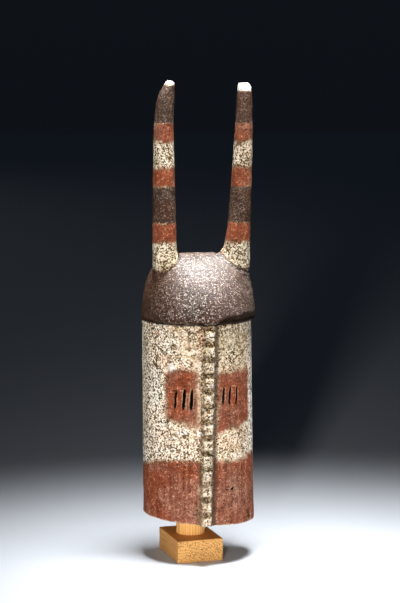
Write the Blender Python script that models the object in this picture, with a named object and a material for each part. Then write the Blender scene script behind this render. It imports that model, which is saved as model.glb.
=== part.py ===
"""A carved wooden buffalo mask with two tall horns, held up by a wooden post on a block.

Metres, +Z up, the face looks along -Y. The origin is the centre of the block's underside.
The mask is one carved piece: a half-round face, a domed crown with a projecting brow, two
horns, a notched ridge down the face and slit eyes. It is hollow and open at the back.
"""

import math

import bmesh
import bpy
from mathutils import Matrix, Vector

# Stand
BLOCK_WIDTH = 0.0775
BLOCK_DEPTH = 0.106
BLOCK_HEIGHT = 0.037
BLOCK_EDGE = 0.0015
BLOCK_TURN = math.radians(6.5)
POST_DIAMETER = 0.048
POST_SIDES = 40
CONTACT_GAP = 0.0003

# Where the mask sits over the stand
MASK_SHIFT_X = 0.0125
MASK_SHIFT_Y = 0.005
MASK_LIFT = 0.031

# Face: a half-round wall, a little wider at the foot
FACE_HEIGHT = 0.3275
FACE_WIDTH_TOP = 0.178
FACE_WIDTH_FOOT = 0.183
FACE_DEPTH = 0.088
FACE_WALL = 0.011
FACE_LEAN = 0.004
FOOT_SLOPE = -0.066
SIDE_REACH = 0.010
FACE_STEPS = 40

# Crown: a dome over the face, with a brow that stands proud of it
BROW_WIDTH = 0.187
BROW_DEPTH = 0.098
BROW_SHIFT = 0.001
BROW_ROUND = 0.007
BROW_ROUND_STEPS = 4
CROWN_HEIGHT = 0.1065
CROWN_WALL = 0.013
CROWN_TAPER = 0.07
CROWN_SIDE_FULLNESS = 3.3
CROWN_FRONT_FULLNESS = 2.2
CEILING_SHARE = 0.88
CROWN_STEPS = 13

# Horns: their place on the crown, and what the two share
HORN_SPREAD = 0.120
HORN_FORWARD = 0.024
HORN_RADIUS = 0.0198
HORN_OVAL = 1.06
HORN_SWEEP = 0.014
HORN_SINK = 0.050
HORN_BITE = 0.0015
HORN_SIDES = 28
HORN_RINGS = 12
FLARE_RINGS = 5
OUTER_FLARE = 0.0025

# Each horn: its height over the crown, its lean, how its tip turns, its girth and worn tip
LEFT_HORN_HEIGHT = 0.2795
LEFT_HORN_LEAN = -0.002
LEFT_TIP_TURN = 0.0108
LEFT_NECK_RADIUS = 0.0146
LEFT_TIP_RADIUS = 0.0098
LEFT_TIP_FALL = 0.35
LEFT_FLARE_WIDTH = 0.012
LEFT_FLARE_HEIGHT = 0.020
RIGHT_HORN_HEIGHT = 0.2745
RIGHT_HORN_LEAN = 0.016
RIGHT_TIP_TURN = -0.002
RIGHT_NECK_RADIUS = 0.0122
RIGHT_TIP_RADIUS = 0.0098
RIGHT_TIP_FALL = 0.72
RIGHT_FLARE_WIDTH = 0.024
RIGHT_FLARE_HEIGHT = 0.034

# Ridge: a strip down the middle of the face, notched into teeth
RIDGE_TEETH = 13
RIDGE_BASE_WIDTH = 0.024
RIDGE_CREST_WIDTH = 0.013
RIDGE_RISE = 0.009
NOTCH_DEPTH = 0.0055
NOTCH_SHARE = 0.36
NOTCH_FLANK = 0.0035
RIDGE_TOP_SHIFT = 0.002
RIDGE_FOOT_SHIFT = -0.004
RIDGE_SINK = 0.006

# Eyes: three upright slits in each cheek, at angles round the face
SLIT_ANGLES = (16.9, 24.7, 34.0)
SLIT_HEIGHT = 0.036
LEFT_SLIT_WIDTHS = (0.0044, 0.0042, 0.0032)
RIGHT_SLIT_WIDTHS = (0.0030, 0.0030, 0.0032)
LEFT_EYE_LEVEL = 0.2065
RIGHT_EYE_LEVEL = 0.2105
SLIT_LEAN = 0.003

# Two holes in the right cheek: a peg hole, and a worn one near the lower corner
PEG_HOLE_DIAMETER = 0.0045
PEG_HOLE_ANGLE = 26.7
PEG_HOLE_LEVEL = 0.057
CORNER_HOLE_WIDTH = 0.010
CORNER_HOLE_HEIGHT = 0.012
CORNER_HOLE_ANGLE = 56.0
CORNER_HOLE_LEVEL = 0.0045
HOLE_SIDES = 12

# Colour and roughness of each piece
FINISHES = {
    "mask": ((0.62, 0.53, 0.38), 0.9),
    "stand_post": ((0.74, 0.42, 0.20), 0.5),
    "stand_block": ((0.64, 0.34, 0.11), 0.5),
}
SMOOTH_ANGLE = math.radians(35)


def clear_scene():
    for item in list(bpy.data.objects):
        bpy.data.objects.remove(item)


def finish(name):
    colour, roughness = FINISHES[name]
    made = bpy.data.materials.new(name)
    made.use_nodes = True
    shader = made.node_tree.nodes["Principled BSDF"]
    shader.inputs["Base Color"].default_value = (*colour, 1.0)
    shader.inputs["Roughness"].default_value = roughness
    shader.inputs["Metallic"].default_value = 0.0
    return made


def mesh_object(name, bm, parent=None):
    """An object from a finished bmesh, its faces turned outwards and shaded smooth."""
    bmesh.ops.recalc_face_normals(bm, faces=bm.faces)
    mesh = bpy.data.meshes.new(name)
    bm.to_mesh(mesh)
    bm.free()
    mesh.shade_smooth()
    mesh.set_sharp_from_angle(angle=SMOOTH_ANGLE)
    if name in FINISHES:
        mesh.materials.append(finish(name))
    made = bpy.data.objects.new(name, mesh)
    bpy.context.scene.collection.objects.link(made)
    made.parent = parent
    return made


def helper(item):
    """Keeps an object that only a Boolean reads out of the finished model."""
    item.hide_render = True
    item.display_type = "WIRE"
    return item


def boolean(target, other, operation):
    step = target.modifiers.new(f"{operation.lower()} {other.name}", "BOOLEAN")
    step.operation = operation
    step.object = other


def loft(rings):
    """A closed body through rings of equal count, with a flat cap at each end."""
    bm = bmesh.new()
    rows = [[bm.verts.new(point) for point in ring] for ring in rings]
    for lower, upper in zip(rows, rows[1:]):
        for i in range(len(lower)):
            j = (i + 1) % len(lower)
            bm.faces.new((lower[i], lower[j], upper[j], upper[i]))
    bm.faces.new(reversed(rows[0]))
    bm.faces.new(rows[-1])
    return bm


def half_round(half_width, depth, back, level, shift=0.0):
    """A D in plan: straight sides from the back to the widest line, then round the front."""
    ring = [Vector((shift + half_width, back, level))]
    for i in range(FACE_STEPS + 1):
        turn = math.pi / 2 - math.pi * i / FACE_STEPS
        ring.append(
            Vector((shift + half_width * math.sin(turn), -depth * math.cos(turn), level))
        )
    ring.append(Vector((shift - half_width, back, level)))
    return ring


def face_half_width(level):
    share = level / FACE_HEIGHT
    return (FACE_WIDTH_FOOT + (FACE_WIDTH_TOP - FACE_WIDTH_FOOT) * share) / 2


def face_shift(level):
    """The face's middle line leans a little to its left on the way up."""
    return FACE_LEAN * (0.5 - level / FACE_HEIGHT)


def face_point(angle_deg, level):
    """A place on the face's outer surface, and the way it looks, at an angle from the front."""
    turn = math.radians(angle_deg)
    x = face_shift(level) + face_half_width(level) * math.sin(turn)
    return Vector((x, -FACE_DEPTH * math.cos(turn), level)), Vector((math.sin(turn), -math.cos(turn), 0))


def sloped(ring, level):
    """Tilts a level ring to the slope of the face's foot."""
    return [Vector((p.x, p.y, level + FOOT_SLOPE * p.x)) for p in ring]


def face_rings(inset, back, levels):
    """The half-round of the face at some levels, the lowest one on the slope of the foot."""
    rings = []
    for level in levels:
        half_width = face_half_width(min(level, FACE_HEIGHT)) - inset
        ring = half_round(half_width, FACE_DEPTH - inset, back, level, face_shift(level))
        rings.append(sloped(ring, level) if level <= 0 else ring)
    return rings


def face_body():
    """The solid half-round of the face, its top end hidden in the crown."""
    return loft(face_rings(0.0, SIDE_REACH, (0.0, FACE_HEIGHT / 2, FACE_HEIGHT + BROW_ROUND)))


def crown_reach(share, half_width=BROW_WIDTH / 2, depth=BROW_DEPTH):
    """What is left of a reach at a share of the crown's height: sloping in, then round."""
    side = (1 - share**CROWN_SIDE_FULLNESS) ** (1 / CROWN_SIDE_FULLNESS)
    front = (1 - share**CROWN_FRONT_FULLNESS) ** (1 / CROWN_FRONT_FULLNESS)
    return half_width * side * (1 - CROWN_TAPER * share), depth * front


def crown_level(x, y):
    """The height of the crown's outer surface over a place in plan, found by halving."""
    low, high = 0.0, 1.0
    for _ in range(24):
        share = (low + high) / 2
        half_width, depth = crown_reach(share)
        if ((x - BROW_SHIFT) / half_width) ** 2 + (min(y, 0) / depth) ** 2 < 1:
            low = share
        else:
            high = share
    return FACE_HEIGHT + CROWN_HEIGHT * low


def crown_body():
    """The dome, its underside rounded into the brow."""
    rings = []
    for i in range(BROW_ROUND_STEPS):
        turn = math.pi / 2 * i / BROW_ROUND_STEPS
        pull = BROW_ROUND * (1 - math.sin(turn))
        lift = BROW_ROUND * (1 - math.cos(turn))
        half_width, depth = crown_reach(lift / CROWN_HEIGHT)
        level = FACE_HEIGHT + lift
        rings.append(half_round(half_width - pull, depth - pull, SIDE_REACH, level, BROW_SHIFT))
    low = BROW_ROUND / CROWN_HEIGHT
    for i in range(CROWN_STEPS + 1):
        turn = math.pi / 2 * i / (CROWN_STEPS + 1)
        share = low + (1 - low) * math.sin(turn)
        level = FACE_HEIGHT + CROWN_HEIGHT * share
        rings.append(half_round(*crown_reach(share), SIDE_REACH, level, BROW_SHIFT))
    return loft(rings)


def ceiling_level():
    """The height of the hollow's flat ceiling over the face's foot."""
    return FACE_HEIGHT + CEILING_SHARE * (CROWN_HEIGHT - CROWN_WALL)


def hollow_body():
    """The hollow inside the mask: up the face, then round into the crown's flat ceiling."""
    back = SIDE_REACH + 3 * FACE_WALL
    rings = face_rings(FACE_WALL, back, (-FACE_WALL, FACE_HEIGHT / 2))
    half_width = face_half_width(FACE_HEIGHT) - FACE_WALL
    for i in range(CROWN_STEPS + 1):
        share = CEILING_SHARE * math.sin(math.pi / 2 * i / CROWN_STEPS)
        level = FACE_HEIGHT + share * (CROWN_HEIGHT - CROWN_WALL)
        reach = crown_reach(share, half_width, FACE_DEPTH - FACE_WALL)
        rings.append(half_round(*reach, back, level, face_shift(FACE_HEIGHT)))
    return loft(rings)


def horn_body(side, height, lean, tip_turn, neck, tip, fall, flare_width, flare_height):
    """One horn. side is -1 or 1, for the horn on that side of the face.

    It stands in the crown, leaves it in a fillet that is widest towards the other horn,
    rises in a long taper, and ends in a worn tip that slants down to the front.
    """
    root = Vector((BROW_SHIFT + side * HORN_SPREAD / 2, -HORN_FORWARD))
    ways = [2 * math.pi * i / HORN_SIDES for i in range(HORN_SIDES)]
    rings = [
        [
            Vector(
                (
                    root.x + HORN_RADIUS / 2 * math.cos(way),
                    root.y + HORN_RADIUS / 2 * math.sin(way),
                    FACE_HEIGHT + CROWN_HEIGHT - HORN_SINK,
                )
            )
            for way in ways
        ]
    ]
    for i in range(FLARE_RINGS + 1):
        rise = 1 - math.cos(math.pi / 2 * i / FLARE_RINGS)
        spread = 1 - math.sqrt(1 - (1 - rise) ** 2)
        points = []
        for way in ways:
            inward = max(0.0, -side * math.cos(way)) ** 2
            width = OUTER_FLARE + (flare_width - OUTER_FLARE) * inward
            tall = OUTER_FLARE + (flare_height - OUTER_FLARE) * inward
            reach = HORN_RADIUS + width * spread
            x = root.x + reach * math.cos(way)
            y = root.y + reach * HORN_OVAL * math.sin(way)
            points.append(Vector((x, y, crown_level(x, y) + tall * rise - HORN_BITE)))
        rings.append(points)
    first = 1.3 * flare_height / height
    for i in range(HORN_RINGS):
        share = 1 - (1 - first) * (1 - i / (HORN_RINGS - 1)) ** 1.5
        radius = HORN_RADIUS + (neck - HORN_RADIUS) * share - (neck - tip) * share**12
        middle = root + Vector((lean * share + tip_turn * share**6, HORN_SWEEP * share**2))
        slant = fall * share**40
        level = FACE_HEIGHT + CROWN_HEIGHT + height * share - slant * radius * HORN_OVAL
        points = []
        for way in ways:
            x = radius * math.cos(way)
            y = radius * HORN_OVAL * math.sin(way)
            points.append(Vector((middle.x + x, middle.y + y, level + slant * y)))
        rings.append(points)
    return loft(rings)


def ridge_body():
    """The ridge: a four-sided strip whose crest drops at each notch."""
    pitch = FACE_HEIGHT / RIDGE_TEETH
    notch = pitch * NOTCH_SHARE
    profile = [(0.0, 0.0)]
    for i in range(RIDGE_TEETH):
        top = pitch * (i + 1)
        profile.append((top - notch - NOTCH_FLANK, 0.0))
        profile.append((top - notch, NOTCH_DEPTH))
        if i < RIDGE_TEETH - 1:
            profile.append((top - NOTCH_FLANK, NOTCH_DEPTH))
            profile.append((top, 0.0))
    profile.append((FACE_HEIGHT + BROW_ROUND, NOTCH_DEPTH))
    rings = []
    for level, drop in profile:
        share = level / FACE_HEIGHT
        middle = RIDGE_FOOT_SHIFT + (RIDGE_TOP_SHIFT - RIDGE_FOOT_SHIFT) * share
        rise = RIDGE_RISE - drop
        slope = (RIDGE_BASE_WIDTH - RIDGE_CREST_WIDTH) / 2 / RIDGE_RISE
        crest = RIDGE_BASE_WIDTH / 2 - slope * rise
        base = RIDGE_BASE_WIDTH / 2 + slope * RIDGE_SINK
        near, far = -(FACE_DEPTH + rise), -(FACE_DEPTH - RIDGE_SINK)
        height = level + (FOOT_SLOPE * middle if level == 0 else 0)
        rings.append(
            [
                Vector((middle - base, far, height)),
                Vector((middle + base, far, height)),
                Vector((middle + crest, near, height)),
                Vector((middle - crest, near, height)),
            ]
        )
    return loft(rings)


def prism(outline, place, look, length):
    """A straight cutter along look, its outline given as (across, up) pairs."""
    across = Vector((0, 0, 1)).cross(look)
    rings = []
    for reach in (-length / 2, length / 2):
        rings.append([place + look * reach + across * u + Vector((0, 0, v)) for u, v in outline])
    return rings


def slit_outline(width):
    """A narrow slot that tapers towards each end and leans a little."""
    half = SLIT_HEIGHT / 2
    shape = []
    for across, up in ((-0.2, -1), (0.2, -1), (0.5, -0.7), (0.5, 0.55), (0.15, 1), (-0.15, 1),
                       (-0.5, 0.55), (-0.5, -0.7)):
        shape.append((across * width + SLIT_LEAN / 2 * up, up * half))
    return shape


def oval_outline(width, height):
    shape = []
    for i in range(HOLE_SIDES):
        turn = 2 * math.pi * i / HOLE_SIDES
        shape.append((width / 2 * math.cos(turn), height / 2 * math.sin(turn)))
    return shape


def opening_cutters():
    """The six slits and the two holes, as bodies that don't touch."""
    bm = bmesh.new()
    reach = 4 * FACE_WALL
    cuts = []
    for angle, left, right in zip(SLIT_ANGLES, LEFT_SLIT_WIDTHS, RIGHT_SLIT_WIDTHS):
        cuts.append((slit_outline(left), -angle, LEFT_EYE_LEVEL))
        cuts.append((slit_outline(right), angle, RIGHT_EYE_LEVEL))
    cuts.append(
        (oval_outline(PEG_HOLE_DIAMETER, PEG_HOLE_DIAMETER), PEG_HOLE_ANGLE, PEG_HOLE_LEVEL)
    )
    cuts.append(
        (
            oval_outline(CORNER_HOLE_WIDTH, CORNER_HOLE_HEIGHT),
            CORNER_HOLE_ANGLE,
            CORNER_HOLE_LEVEL,
        )
    )
    for outline, angle, level in cuts:
        place, look = face_point(angle, level)
        part = loft(prism(outline, place, look, reach))
        spare = bpy.data.meshes.new("cut")
        part.to_mesh(spare)
        part.free()
        bm.from_mesh(spare)
        bpy.data.meshes.remove(spare)
    return bm


def make_mask():
    """The whole carved mask, as one body under an empty at its foot."""
    frame = bpy.data.objects.new("mask_frame", None)
    bpy.context.scene.collection.objects.link(frame)
    frame.location = (MASK_SHIFT_X, MASK_SHIFT_Y, BLOCK_HEIGHT + MASK_LIFT)
    mask = mesh_object("mask", face_body(), frame)
    left_horn = horn_body(
        -1, LEFT_HORN_HEIGHT, LEFT_HORN_LEAN, LEFT_TIP_TURN, LEFT_NECK_RADIUS, LEFT_TIP_RADIUS,
        LEFT_TIP_FALL, LEFT_FLARE_WIDTH, LEFT_FLARE_HEIGHT,
    )
    right_horn = horn_body(
        1, RIGHT_HORN_HEIGHT, RIGHT_HORN_LEAN, RIGHT_TIP_TURN, RIGHT_NECK_RADIUS, RIGHT_TIP_RADIUS,
        RIGHT_TIP_FALL, RIGHT_FLARE_WIDTH, RIGHT_FLARE_HEIGHT,
    )
    joined = (
        ("crown_form", crown_body()),
        ("left_horn_form", left_horn),
        ("right_horn_form", right_horn),
        ("ridge_form", ridge_body()),
    )
    for name, bm in joined:
        boolean(mask, helper(mesh_object(name, bm, frame)), "UNION")
    for name, bm in (("hollow", hollow_body()), ("openings", opening_cutters())):
        boolean(mask, helper(mesh_object(name, bm, frame)), "DIFFERENCE")


def make_block():
    bm = bmesh.new()
    bmesh.ops.create_cube(bm, size=1.0)
    size = Matrix.Diagonal((BLOCK_WIDTH, BLOCK_DEPTH, BLOCK_HEIGHT, 1))
    place = Matrix.Translation((0, 0, BLOCK_HEIGHT / 2)) @ size
    bmesh.ops.transform(bm, matrix=place, verts=bm.verts)
    bmesh.ops.bevel(bm, geom=bm.edges[:], offset=BLOCK_EDGE, segments=2, affect="EDGES")
    block = mesh_object("stand_block", bm)
    block.rotation_euler.z = BLOCK_TURN


def make_post():
    """The post stands on the block and carries the mask by the ceiling of its crown."""
    foot = BLOCK_HEIGHT + CONTACT_GAP
    top = BLOCK_HEIGHT + MASK_LIFT + ceiling_level() - CONTACT_GAP
    bm = bmesh.new()
    bmesh.ops.create_cone(
        bm,
        cap_ends=True,
        segments=POST_SIDES,
        radius1=POST_DIAMETER / 2,
        radius2=POST_DIAMETER / 2,
        depth=top - foot,
        matrix=Matrix.Translation((0, 0, (foot + top) / 2)),
    )
    mesh_object("stand_post", bm)


def main():
    clear_scene()
    make_mask()
    make_block()
    make_post()


main()
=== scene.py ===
"""The looks of a carved buffalo mask on its wooden stand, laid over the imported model.

Metres, +Z up, and the face looks along -Y. Run as a script, it carves and paints the mask,
turns the post, saws the block and sets up the studio.
"""

import math

import bpy
import numpy as np
from mathutils import Matrix, Vector, noise


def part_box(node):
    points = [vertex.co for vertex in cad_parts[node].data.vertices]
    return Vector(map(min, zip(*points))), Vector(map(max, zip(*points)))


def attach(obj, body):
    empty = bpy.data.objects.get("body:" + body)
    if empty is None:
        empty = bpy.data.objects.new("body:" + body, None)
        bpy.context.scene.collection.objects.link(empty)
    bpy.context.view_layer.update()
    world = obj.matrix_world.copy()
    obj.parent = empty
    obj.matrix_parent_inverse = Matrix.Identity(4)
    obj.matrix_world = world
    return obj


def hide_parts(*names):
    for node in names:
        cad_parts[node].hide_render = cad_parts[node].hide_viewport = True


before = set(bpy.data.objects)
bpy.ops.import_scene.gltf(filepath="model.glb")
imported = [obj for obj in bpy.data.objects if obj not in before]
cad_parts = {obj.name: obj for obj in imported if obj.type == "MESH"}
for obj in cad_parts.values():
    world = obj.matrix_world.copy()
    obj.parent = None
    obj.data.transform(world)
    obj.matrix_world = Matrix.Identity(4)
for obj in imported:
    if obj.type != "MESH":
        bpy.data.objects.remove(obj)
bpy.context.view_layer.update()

bl_info = {
    "name": "Buffalo Mask on Its Stand",
    "version": (1, 0, 0),
    "blender": (4, 5, 0),
    "location": "3D View > Sidebar > Mask",
    "description": "Carves and paints a horned wooden mask and builds the stand under it",
    "category": "Object",
}

# The mask's middle line, its foot and its main sizes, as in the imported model
MASK_MIDDLE_X = 0.0125
MASK_MIDDLE_Y = 0.005
FACE_FOOT = 0.068
FACE_HEIGHT = 0.3275
FACE_WIDTH_FOOT = 0.183
FACE_WIDTH_TOP = 0.178
FACE_DEPTH = 0.088
FACE_LEAN = 0.004
CROWN_FOOT = FACE_FOOT + FACE_HEIGHT
CROWN_HEIGHT = 0.1065
CROWN_TOP = CROWN_FOOT + CROWN_HEIGHT
CROWN_WIDTH = 0.187
CROWN_DEPTH = 0.098
CROWN_SHIFT = 0.001
CROWN_TAPER = 0.07
CROWN_SIDE_FULLNESS = 3.3
CROWN_FRONT_FULLNESS = 2.2

# The hollow: its ceiling, and where its bare wood starts, as shares of the outer size
CEILING = 0.4795
FACE_HOLLOW = 0.962
CROWN_HOLLOW = 0.925

# The ridge down the face
RIDGE_TEETH = 13
RIDGE_HALF_WIDTH = 0.012
RIDGE_CREST_HALF_WIDTH = 0.0065
RIDGE_FOOT_SHIFT = -0.004
RIDGE_TOP_SHIFT = 0.002

# The eye slits' lower and upper ends, and where the right cheek's are, in degrees round the face
SLITS_LOW = 0.246
SLITS_HIGH = 0.302
RIGHT_SLITS = (16.9, 24.7, 34.0)

# The horns: where they stand on the crown, then left and right side by side
HORN_SPREAD = 0.120
HORN_FORWARD = 0.024
HORN_RADIUS = 0.0198
HORN_OVAL = 1.06
HORN_SWEEP = 0.014
HORN_HEIGHTS = (0.2795, 0.2745)
HORN_LEANS = (-0.002, 0.016)
HORN_TIP_TURNS = (0.0108, -0.002)
HORN_FOOT = CROWN_TOP + 0.004

# The horns' tips: the left one is worn from this height up, the right one is cut off
LEFT_TIP_WORN_FROM = 0.742
LEFT_TIP_TOP = 0.7815
LEFT_TIP_WEAR = 0.0060
RIGHT_TIP_STRETCHED_FROM = 0.700
RIGHT_TIP_STRETCH = 0.0045
RIGHT_TIP_CUT = 0.7768

# Where the horns' paint ends on the crown: an oval seen from the front, left and right
FOOT_PAINT_X = (-0.067, 0.072)
FOOT_PAINT_Z = (0.510, 0.520)
FOOT_PAINT_WIDE = (0.030, 0.040)
FOOT_PAINT_TALL = (0.0335, 0.040)

# The paint's bands up the horns, as heights over the table
BLACK_BANDS = ((0.554, 0.611), (0.714, 0.763))
LEFT_BLACK_RISE = 0.010
RED_BANDS = ((0.523, 0.554), (0.611, 0.642), (0.685, 0.714))
# WHITE_TIPS: where the horns' pure white tips start, pale worn wood with a painted highlight
WHITE_TIPS = (0.7755, 0.7640)

# The red paint on the face: each eye patch from angle to angle and from height to height
LEFT_PATCH = (-45.0, -8.6, 0.235, 0.317)
RIGHT_PATCH = (10.0, 54.3, 0.225, 0.317)
PATCH_CORNER = 0.0046
FOOT_RED_TOP = 0.1715
OUTSIDE = -0.02

# The stand: its block, the spacing of the block's grid, and the post's sides and rings
BLOCK_WIDTH = 0.0775
BLOCK_DEPTH = 0.106
BLOCK_TURN = math.radians(6.5)
BLOCK_GRID = 0.0012
POST_SIDES = 160
POST_RINGS = 240
SMOOTH_ANGLE = math.radians(40)

# Each light's place, the point it faces, its width and height, and its spread in degrees
TOP_LIGHT = ((0.10, -0.24, 1.65), (0.10, -0.24, 0.0), (0.5, 0.4), 58)
CROWN_LIGHT = ((0.06, 0.14, 1.45), (0.0, -0.05, 0.48), (0.6, 0.9), 45)
FRONT_LIGHT = ((-0.834, -2.463, 0.42), (0.0, 0.0, 0.30), (0.20, 0.75), 40)
LEFT_LIGHT = ((-1.6, 0.30, 0.70), (0.0, 0.0, 0.55), (0.5, 0.9), 45)
RIGHT_LIGHT = ((1.6, 0.30, 0.70), (0.0, 0.0, 0.55), (0.5, 0.9), 45)
FAR_LIGHT = ((-2.6, 7.0, 4.0), (-2.6, 7.0, 0.0), (3.0, 8.0), 110)

# The dark round the studio: its colour, its share at the horizon, and how high it is whole
DARK_COLOUR = (0.0062, 0.0085, 0.0122, 1.0)
DARK_AT_HORIZON = 0.74
DARK_WHOLE_AT = 0.4

# The camera: the photograph's height, the lens's length and how far the photograph's middle
# is off, all in pixels, and the sensor's width in millimetres
PHOTO_HEIGHT = 603
LENS_PIXELS = 1852.7
MIDDLE_OFF = 9.3
SENSOR = 36.0

MOST_TRIANGLES = 196000
MILLIMETRE = 0.001
MERGE_DISTANCE = 0.00001


class MaskSettings(bpy.types.PropertyGroup):
    """How the mask is carved, and its paints."""

    grid: bpy.props.FloatProperty(
        name="Carving Grid", description="Size of the grid that the mask's surface is carved on",
        default=0.00125, min=0.0008, max=0.01, precision=5, unit="LENGTH",
    )
    blade_depth: bpy.props.FloatProperty(
        name="Blade Marks", description="Depth of the shallow facets that the blade left outside",
        default=0.0004, precision=5, unit="LENGTH",
    )
    gouge_depth: bpy.props.FloatProperty(
        name="Gouge Marks", description="Depth of the gouge's hollows inside the mask",
        default=0.0011, precision=5, unit="LENGTH",
    )
    crust_depth: bpy.props.FloatProperty(
        name="Paint Crust", description="Height of the lumps in the dried paint", default=0.00028,
        precision=5, unit="LENGTH",
    )
    white_paint: bpy.props.FloatVectorProperty(
        name="White Paint", description="Colour of the chalky white paint", subtype="COLOR", size=3,
        min=0.0, max=1.0, default=(0.76, 0.566, 0.362),
    )
    dirt: bpy.props.FloatVectorProperty(
        name="Dirt", description="Colour of the dirt in the pits of the white paint",
        subtype="COLOR", size=3, min=0.0, max=1.0, default=(0.058, 0.038, 0.016),
    )
    red_paint: bpy.props.FloatVectorProperty(
        name="Red Paint", description="Colour of the red earth paint", subtype="COLOR", size=3,
        min=0.0, max=1.0, default=(0.25, 0.060, 0.024),
    )
    black_paint: bpy.props.FloatVectorProperty(
        name="Black Paint",
        description="Colour of the brown-black paint on the crown and the horns", subtype="COLOR",
        size=3, min=0.0, max=1.0, default=(0.036, 0.017, 0.0095),
    )
    bare_wood: bpy.props.FloatVectorProperty(
        name="Bare Wood", description="Colour of the unpainted old wood inside", subtype="COLOR",
        size=3, min=0.0, max=1.0, default=(0.20, 0.115, 0.055),
    )


class StandSettings(bpy.types.PropertyGroup):
    """The stand's edges, and its wood."""

    post_edge: bpy.props.FloatProperty(
        name="Post Edge", description="Width of the rounding at the post's ends", default=0.0012,
        precision=5, unit="LENGTH",
    )
    block_edge: bpy.props.FloatProperty(
        name="Block Edge", description="Width of the rounding along the block's edges",
        default=0.0016, precision=5, unit="LENGTH",
    )
    saw_depth: bpy.props.FloatProperty(
        name="Saw Marks", description="Depth of the marks that the saw left on the block",
        default=0.00012, precision=5, unit="LENGTH",
    )
    early_wood: bpy.props.FloatVectorProperty(
        name="Early Wood", description="Colour of the pale part of a year's ring", subtype="COLOR",
        size=3, min=0.0, max=1.0, default=(0.78, 0.41, 0.125),
    )
    late_wood: bpy.props.FloatVectorProperty(
        name="Late Wood", description="Colour of the dark part of a year's ring", subtype="COLOR",
        size=3, min=0.0, max=1.0, default=(0.52, 0.20, 0.055),
    )


class StageSettings(bpy.types.PropertyGroup):
    """The studio: its floor, lights and camera."""

    floor_size: bpy.props.FloatProperty(
        name="Floor Size", description="Width of the studio floor", default=40.0, unit="LENGTH",
    )
    floor_colour: bpy.props.FloatVectorProperty(
        name="Floor Colour", description="Colour of the studio floor", subtype="COLOR", size=3,
        min=0.0, max=1.0, default=(0.73, 0.77, 0.83),
    )
    top_power: bpy.props.FloatProperty(
        name="Top Light",
        description="Power of the small light over the mask, which casts the shadow beside the block",
        default=6.2, unit="POWER",
    )
    crown_power: bpy.props.FloatProperty(
        name="Crown Light",
        description="Power of the light behind and over the mask, which shines on its crown",
        default=4.8, unit="POWER",
    )
    front_power: bpy.props.FloatProperty(
        name="Front Light",
        description="Power of the tall, narrow light in front of the mask, to its left",
        default=3.15, unit="POWER",
    )
    left_power: bpy.props.FloatProperty(
        name="Left Light", description="Power of the light on the mask's left, a little behind it",
        default=0.40, unit="POWER",
    )
    right_power: bpy.props.FloatProperty(
        name="Right Light",
        description="Power of the light on the mask's right, a little behind it", default=0.48,
        unit="POWER",
    )
    far_power: bpy.props.FloatProperty(
        name="Far Light",
        description="Power of the wide, faint light over the floor, far behind on the left",
        default=4.0, unit="POWER",
    )
    camera_distance: bpy.props.FloatProperty(
        name="Camera Distance",
        description="How far the camera stands from the stand, along the floor", default=3.0,
        unit="LENGTH",
    )
    camera_height: bpy.props.FloatProperty(
        name="Camera Height", description="How high the camera is over the floor", default=0.7986,
        unit="LENGTH",
    )
    camera_turn: bpy.props.FloatProperty(
        name="Camera Turn",
        description="How far round the stand the camera has gone from straight ahead",
        default=math.radians(-11.2), unit="ROTATION",
    )
    camera_tilt: bpy.props.FloatProperty(
        name="Camera Tilt", description="How far down the camera looks",
        default=math.radians(7.146), unit="ROTATION",
    )


# Selecting, copying and finishing pieces


def pick(piece):
    """Makes one object the only selected one, and the active one."""
    bpy.ops.object.select_all(action="DESELECT")
    piece.select_set(True)
    bpy.context.view_layer.objects.active = piece


def apply_modifier(piece, name, kind, **settings):
    """Adds a modifier with its settings and applies it."""
    pick(piece)
    step = piece.modifiers.new(name, kind)
    for key, value in settings.items():
        setattr(step, key, value)
    bpy.ops.object.modifier_apply(modifier=step.name)


def copy_of_node(node, name):
    """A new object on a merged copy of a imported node's mesh. The node itself is left alone."""
    piece = bpy.data.objects.new(name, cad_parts[node].data.copy())
    bpy.context.scene.collection.objects.link(piece)
    piece.data.materials.clear()
    pick(piece)
    bpy.ops.object.mode_set(mode="EDIT")
    bpy.ops.mesh.select_all(action="SELECT")
    bpy.ops.mesh.remove_doubles(threshold=MERGE_DISTANCE)
    bpy.ops.object.mode_set(mode="OBJECT")
    return piece


def hand_in(piece, node, material):
    """Gives a finished piece its material and its body, and hides the imported node it stands for."""
    piece.data.materials.clear()
    piece.data.materials.append(material)
    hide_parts(node)
    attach(piece, "root")


def vertex_places(mesh):
    places = np.empty(3 * len(mesh.vertices))
    mesh.vertices.foreach_get("co", places)
    return places.reshape(-1, 3)


def vertex_normals(mesh):
    normals = np.empty(3 * len(mesh.vertices))
    mesh.vertex_normals.foreach_get("vector", normals)
    return normals.reshape(-1, 3)


def move_vertices(mesh, places):
    mesh.vertices.foreach_set("co", places.ravel())
    mesh.update()


def store(mesh, name, values):
    """Keeps one number for each vertex, for the material to read."""
    attribute = mesh.attributes.new(name, "FLOAT", "POINT")
    attribute.data.foreach_set("value", np.asarray(values, dtype=np.float32))


def eased(mesh, places, rounds):
    """The vertices' places after each has moved towards its neighbours a few times."""
    edges = np.empty(2 * len(mesh.edges), dtype=np.int64)
    mesh.edges.foreach_get("vertices", edges)
    first, second = edges.reshape(-1, 2).T
    total = len(places)
    counts = np.bincount(first, minlength=total) + np.bincount(second, minlength=total)
    counts = np.maximum(counts, 1)[:, None]
    for _ in range(rounds):
        sums = np.empty_like(places)
        for i in range(3):
            near = np.bincount(first, places[second, i], total)
            sums[:, i] = near + np.bincount(second, places[first, i], total)
        places = (places + sums / counts) / 2
    return places


# Uneven surfaces, in numbers


def bumps(places, size, seed, octaves=1):
    """Smooth noise of about -1 to 1 at each place, its bumps about size across."""
    shifted = places / size + 13.7 * seed
    return np.array([noise.fractal(place, 1.0, 2.0, octaves) for place in shifted.tolist()])


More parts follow.
